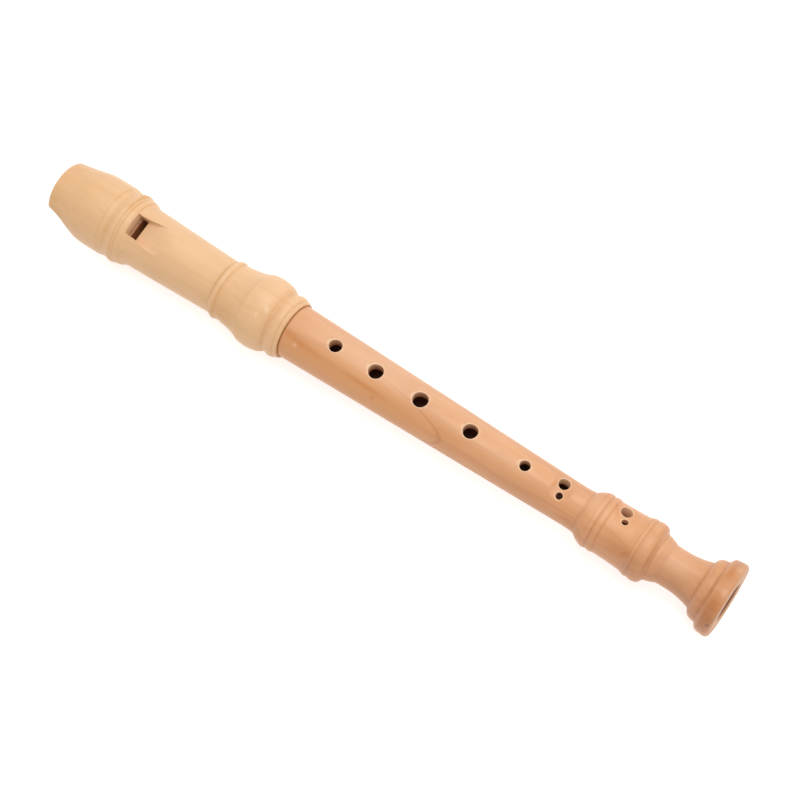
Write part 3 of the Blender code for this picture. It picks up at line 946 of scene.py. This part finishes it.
def cathedral(tree, place, waver, colour, oval):
    """Inside ((x - middle) / a)^2 + (turn / b)^2 = 1, plus a little noise, the colour goes to a tint; on the
    line itself it goes to a darker one."""
    middle, turn, half_long, half_round, tint, line = oval
    parts = add_node(tree, "SeparateXYZ", {0: place})
    from_middle = (LENGTH / 2 - middle) / half_long
    along = calc(tree, "MULTIPLY_ADD", parts.outputs[0], 1 / (half_long * MM), from_middle)
    up = calc(tree, "SUBTRACT", parts.outputs[2], AXIS_HEIGHT * MM)
    angle = calc(tree, "ARCTAN2", parts.outputs[1], up)
    around = calc(tree, "MULTIPLY_ADD", angle, 1 / math.radians(half_round), -turn / half_round)
    squares = calc(tree, "MULTIPLY_ADD", along, along, calc(tree, "MULTIPLY", around, around))
    field = calc(tree, "MULTIPLY_ADD", waver, 0.4, squares)
    within = ramp(tree, field, 1.15, 0.55)
    on_line = calc(tree, "MULTIPLY", ramp(tree, field, 1.11, 1.18), ramp(tree, field, 1.26, 1.20))
    colour = blend_colour(tree, calc(tree, "MULTIPLY", within, 0.75), colour, tint)
    clearer = ramp(tree, along, -0.3, 0.8, 0.12, 0.5)
    return blend_colour(tree, calc(tree, "MULTIPLY", on_line, clearer), colour, line)


# %% [markdown]
# Maple looks plain from afar and busy up close. Three things make it: growth rings, which are circles round
# the tree's pith and show as wide curves where the turned surface cuts them; fibres, which are long and
# very thin; and slow drifts of colour over a few centimetres. All three are read from object coordinates,
# so they run through the wood as real grain does, also into holes and over end faces.

# %% Maple, for the head and the body
# The pale colour of bare wood and worn edges, also used for painted sheen, painted glints and painted light.
PALE_WOOD_AND_LIGHT = (0.95, 0.70, 0.48)


def maple(name, tones, pith, ring_width, drift, ring_strength, oval=None):
    """Wood for a turned piece. tones: light, dark, ring line, crease, stain, inside. pith: where the tree's
    middle runs, in metres from the bore's axis, and how it slants. Rings: distance from the pith, plus drift
    times a slow noise, over ring_width; each ring darkens slowly and ends in a thin late-wood line."""
    light, dark, late, crease, stain, inside = tones
    material = bpy.data.materials.new(name)
    material.use_nodes = True
    tree = material.node_tree
    shader = tree.nodes["Principled BSDF"]
    place = add_node(tree, "TexCoord").outputs["Object"]

    to_pith = (0, -pith[0], -AXIS_HEIGHT * MM - pith[1])
    turned_to = {"Vector": place, "Location": to_pith, "Rotation": (0, pith[2], pith[3])}
    centred = add_node(tree, "Mapping", turned_to).outputs[0]
    flat = add_node(tree, "VectorMath", {0: centred, 1: (0.0, 1.0, 1.0)}, operation="MULTIPLY").outputs[0]
    reach = add_node(tree, "VectorMath", {0: flat}, operation="LENGTH").outputs["Value"]
    slow = stretched_noise(tree, place, (14, 55, 55), 2.0)
    warped = calc(tree, "MULTIPLY_ADD", slow, drift, reach)
    ring = calc(tree, "FRACT", calc(tree, "DIVIDE", warped, ring_width))
    early = ramp(tree, ring, 0.0, 0.85)
    late_line = calc(tree, "MULTIPLY", ramp(tree, ring, 0.7, 0.93), ramp(tree, ring, 1.0, 0.95))

    fibre = stretched_noise(tree, place, (45, 1500, 1500), 3.0)
    streak = stretched_noise(tree, place, (18, 260, 260), 3.0, 0.6)
    cloud = stretched_noise(tree, place, (22, 48, 48), 3.0)
    fleck = ramp(tree, stretched_noise(tree, place, (330, 3600, 3600), 1.0), 0.66, 0.76)

    tone = calc(tree, "MULTIPLY_ADD", early, 0.6 * ring_strength, calc(tree, "MULTIPLY", fibre, 0.30))
    tone = calc(tree, "ADD", tone, calc(tree, "MULTIPLY", streak, 0.40))
    tone = calc(tree, "ADD", tone, calc(tree, "MULTIPLY", cloud, 0.75))
    colour = blend_colour(tree, ramp(tree, tone, 0.48, 1.06), light, dark)
    colour = blend_colour(tree, calc(tree, "MULTIPLY", late_line, ring_strength), colour, late)
    colour = blend_colour(tree, calc(tree, "MULTIPLY", fleck, 0.16), colour, late)
    if oval:
        colour = cathedral(tree, place, slow, colour, oval)

    normal = add_node(tree, "TexCoord").outputs["Normal"]
    facing = calc(tree, "ABSOLUTE", add_node(tree, "SeparateXYZ", {0: normal}).outputs[0])
    end_grain = ramp(tree, facing, 0.80, 0.97)
    colour = blend_colour(tree, calc(tree, "MULTIPLY", end_grain, 0.30), colour, late)
    # Creases darkened: partly dust and finish, partly painted shade.
    creased = calc(tree, "MULTIPLY", attribute(tree, "crease"), ramp(tree, streak, 0.25, 0.6, 0.55, 1.0))
    colour = blend_colour(tree, creased, colour, crease)
    blotch = stretched_noise(tree, place, (150, 190, 190), 4.0, 0.65)
    mottled = calc(tree, "MULTIPLY_ADD", streak, 0.5, calc(tree, "MULTIPLY", blotch, 0.5))
    stained = calc(tree, "MULTIPLY", attribute(tree, "stain"), ramp(tree, mottled, 0.38, 0.62, 0.55, 1.0))
    colour = blend_colour(tree, stained, colour, stain)
    # Painted shade on the body's lower side, partly browner wood.
    colour = blend_colour(tree, attribute(tree, "brown"), colour, inside)
    # Pale: bare wood and worn edges, with painted sheen, painted glints and painted light.
    colour = blend_colour(tree, calc(tree, "MULTIPLY", attribute(tree, "pale"), 0.85), colour, PALE_WOOD_AND_LIGHT)
    # Painted shade in holes and bores.
    colour = blend_colour(tree, attribute(tree, "inside"), colour, inside)
    tree.links.new(colour, shader.inputs["Base Color"])

    dull = calc(tree, "MULTIPLY_ADD", end_grain, 0.2, calc(tree, "MULTIPLY_ADD", fibre, 0.10, 0.42))
    dull = calc(tree, "MULTIPLY_ADD", attribute(tree, "inside"), 0.3, dull)
    tree.links.new(dull, shader.inputs["Roughness"])
    shader.inputs["Coat Weight"].default_value = 0.15
    shader.inputs["Coat Roughness"].default_value = 0.32
    height = calc(tree, "MULTIPLY_ADD", fleck, -0.6, fibre)
    bump = add_node(tree, "Bump", {"Strength": 0.25, "Distance": 0.00005, "Height": height})
    tree.links.new(bump.outputs[0], shader.inputs["Normal"])
    tree.links.new(bump.outputs[0], shader.inputs["Coat Normal"])
    print("material", name, "with", len(tree.nodes), "nodes")
    return material


# %% [markdown]
# The head is a paler and yellower piece of maple than the body, which is pinker. Both come from one recipe
# with other tones, and with the tree's pith on another side, so their growth rings don't run on across the
# joint, as they wouldn't on the real instrument.

# %% The two woods
HEAD_TONES = (
    (0.86, 0.525, 0.275),  # light
    (0.78, 0.455, 0.225),  # dark
    (0.56, 0.29, 0.12),  # ring line
    (0.62, 0.30, 0.10),  # crease
    (0.68, 0.35, 0.11),  # stain
    # the inside tone is the painted shade of the bore
    (0.30, 0.14, 0.07),  # inside
)
BODY_TONES = (
    (0.78, 0.375, 0.170),
    (0.67, 0.295, 0.120),
    (0.44, 0.17, 0.06),
    (0.52, 0.20, 0.06),
    (0.60, 0.21, 0.045),
    # the inside tone is the painted shade of holes and bore, and of the darker lower side
    (0.22, 0.08, 0.05),
)
BODY_OVAL = (156, -62, 45, 57, (0.70, 0.315, 0.115), (0.52, 0.19, 0.08))
head_wood = maple("pale_maple", HEAD_TONES, (0.012, 0.021, 0.02, 0.012), 0.0047, 0.013, 0.06)
body_wood = maple("pink_maple", BODY_TONES, (-0.009, -0.024, -0.015, 0.02), 0.0052, 0.012, 0.12, BODY_OVAL)


def dress(piece, material):
    """Gives the whole piece one material."""
    piece.data.materials.clear()
    piece.data.materials.append(material)


dress(head, head_wood)
dress(body, body_wood)

# %% [markdown]
# Cedar is soft and straight-grained, and it doesn't swell much when wet, which is why blocks are made of
# it. Cork has no direction. One recipe makes both: a noise between two colours, drawn out along the block
# and left round in the cork.

# %% Cedar for the block, and cork


def soft_wood(name, light, dark, end, stretch, roughness, low, high):
    """One stretched noise between two colours, a third colour where a face looks along the grain, and a
    little relief."""
    material = bpy.data.materials.new(name)
    material.use_nodes = True
    tree = material.node_tree
    shader = tree.nodes["Principled BSDF"]
    coordinates = add_node(tree, "TexCoord")
    grain = stretched_noise(tree, coordinates.outputs["Object"], stretch, 5.0, 0.6)
    colour = blend_colour(tree, ramp(tree, grain, low, high), light, dark)
    normal = add_node(tree, "SeparateXYZ", {0: coordinates.outputs["Normal"]})
    facing = calc(tree, "ABSOLUTE", normal.outputs[0])
    colour = blend_colour(tree, ramp(tree, facing, 0.80, 0.97), colour, end)
    tree.links.new(colour, shader.inputs["Base Color"])
    shader.inputs["Roughness"].default_value = roughness
    shader.inputs["Specular IOR Level"].default_value = 0.25
    bump = add_node(tree, "Bump", {"Strength": 0.4, "Distance": 0.00008, "Height": grain})
    tree.links.new(bump.outputs[0], shader.inputs["Normal"])
    return material


CEDAR = (0.86, 0.50, 0.30), (0.70, 0.36, 0.19), (0.66, 0.24, 0.09)
CORK = (0.52, 0.32, 0.17), (0.20, 0.10, 0.045), (0.36, 0.20, 0.10)
dress(block, soft_wood("red_cedar", *CEDAR, (60, 900, 900), 0.62, 0.35, 0.65))
dress(cork, soft_wood("cork", *CORK, (900, 900, 900), 0.85, 0.42, 0.68))

# %% [markdown]
# The camera stands past the foot and above the holes and looks back towards the beak. Its roll puts the
# beak at the top left of the picture and the foot at the bottom right.

# %% The camera
FOCAL_PIXELS = 1850
PICTURE_PIXELS = 800
SENSOR = 36
CAMERA_DISTANCE = 724.2  # from the bore's axis
CAMERA_ALONG = 378.3  # from the tip
CAMERA_ACROSS = 0.95
AIM = math.radians(-15.60)  # back towards the beak
PICTURE_TURN = math.radians(32)
VIEW_ROLL = math.radians(20.3)  # off the upright, so the holes don't lie in the middle

towards_camera = Vector((0, -math.sin(VIEW_ROLL), math.cos(VIEW_ROLL)))
across = Vector((0, math.cos(VIEW_ROLL), math.sin(VIEW_ROLL)))
along = Vector((1, 0, 0))
right = math.cos(AIM) * along + math.sin(AIM) * towards_camera
back = -math.sin(AIM) * along + math.cos(AIM) * towards_camera
picture_right = math.cos(PICTURE_TURN) * right + math.sin(PICTURE_TURN) * across
picture_up = -math.sin(PICTURE_TURN) * right + math.cos(PICTURE_TURN) * across
camera = bpy.data.objects.new("camera", bpy.data.cameras.new("camera"))
bpy.context.scene.collection.objects.link(camera)
camera.data.lens = SENSOR * FOCAL_PIXELS / PICTURE_PIXELS
camera.data.sensor_width = SENSOR
beside_axis = Vector((CAMERA_ALONG - LENGTH / 2, 0, AXIS_HEIGHT)) - CAMERA_ACROSS * across
place = beside_axis + CAMERA_DISTANCE * towards_camera
turn = Matrix((picture_right, picture_up, back)).transposed().to_4x4()
camera.matrix_world = Matrix.Translation(place * MM) @ turn
bpy.context.scene.camera = camera
print("camera at", [round(v, 3) for v in camera.matrix_world.translation])

# %% [markdown]
# The recorder lies on a white sheet in soft light. For the camera, the sheet gives off a little light of its
# own as well, so that it is white where nothing shades it; the shadow still shows, and the wood is not lit
# any more by it.

# %% The floor


def white_to_camera(tree):
    """1 for rays from the camera, and for those seen in a gloss or through glass; 0 for light on the wood."""
    path = add_node(tree, "LightPath")
    seen = calc(tree, "MAXIMUM", path.outputs["Is Camera Ray"], path.outputs["Is Glossy Ray"])
    return calc(tree, "MAXIMUM", seen, path.outputs["Is Transmission Ray"])


FLOOR_HALF = 4.0
FLOOR_GAP = 0.0002
FLOOR_GLOW = 0.6
floor_z = cad_low.z - FLOOR_GAP
corners = ((-1, -1), (1, -1), (1, 1), (-1, 1))
floor_mesh = bpy.data.meshes.new("floor")
floor_mesh.from_pydata([(x * FLOOR_HALF, y * FLOOR_HALF, floor_z) for x, y in corners], [], [(0, 1, 2, 3)])
floor = bpy.data.objects.new("floor", floor_mesh)
bpy.context.scene.collection.objects.link(floor)
floor_material = bpy.data.materials.new("white_sheet")
floor_material.use_nodes = True
tree = floor_material.node_tree
sheet = tree.nodes["Principled BSDF"]
sheet.inputs["Base Color"].default_value = (0.85, 0.85, 0.85, 1)
sheet.inputs["Roughness"].default_value = 1.0
sheet.inputs["Specular IOR Level"].default_value = 0.0
sheet.inputs["Emission Color"].default_value = (1, 1, 1, 1)
tree.links.new(calc(tree, "MULTIPLY", white_to_camera(tree), FLOOR_GLOW), sheet.inputs["Emission Strength"])
floor_mesh.materials.append(floor_material)
print("floor", 2 * FLOOR_HALF, "m wide at height", round(floor_z, 5))

# %% [markdown]
# Most light comes evenly from the whole sky, as in a light tent. A large lamp nearly overhead gives the
# turned beads their soft highlight, and a weaker one from the far side lifts the upper edge.

# %% World and lamps
world = bpy.data.worlds.new("studio")
bpy.context.scene.world = world
world.use_nodes = True
tree = world.node_tree
strength = add_node(tree, "MapRange", {"Value": white_to_camera(tree), "To Min": 0.64, "To Max": 1.0})
tree.links.new(strength.outputs[0], tree.nodes["Background"].inputs["Strength"])
tree.nodes["Background"].inputs["Color"].default_value = (1, 1, 1, 1)

for name, place, size, power in (  # metres and watts
    ("key", (0.1, 0.18, 1.08), 0.7, 5.0),
    ("back", (0.25, 1.1, 0.5), 1.0, 1.6),
):
    lamp = bpy.data.lights.new(name, "AREA")
    lamp.size = size
    lamp.energy = power
    lamp_object = bpy.data.objects.new(name, lamp)
    bpy.context.scene.collection.objects.link(lamp_object)
    lamp_object.location = place
    lamp_object.rotation_mode = "QUATERNION"
    lamp_object.rotation_quaternion = Vector(place).to_track_quat("Z", "Y")

bpy.context.scene.view_settings.view_transform = "Standard"
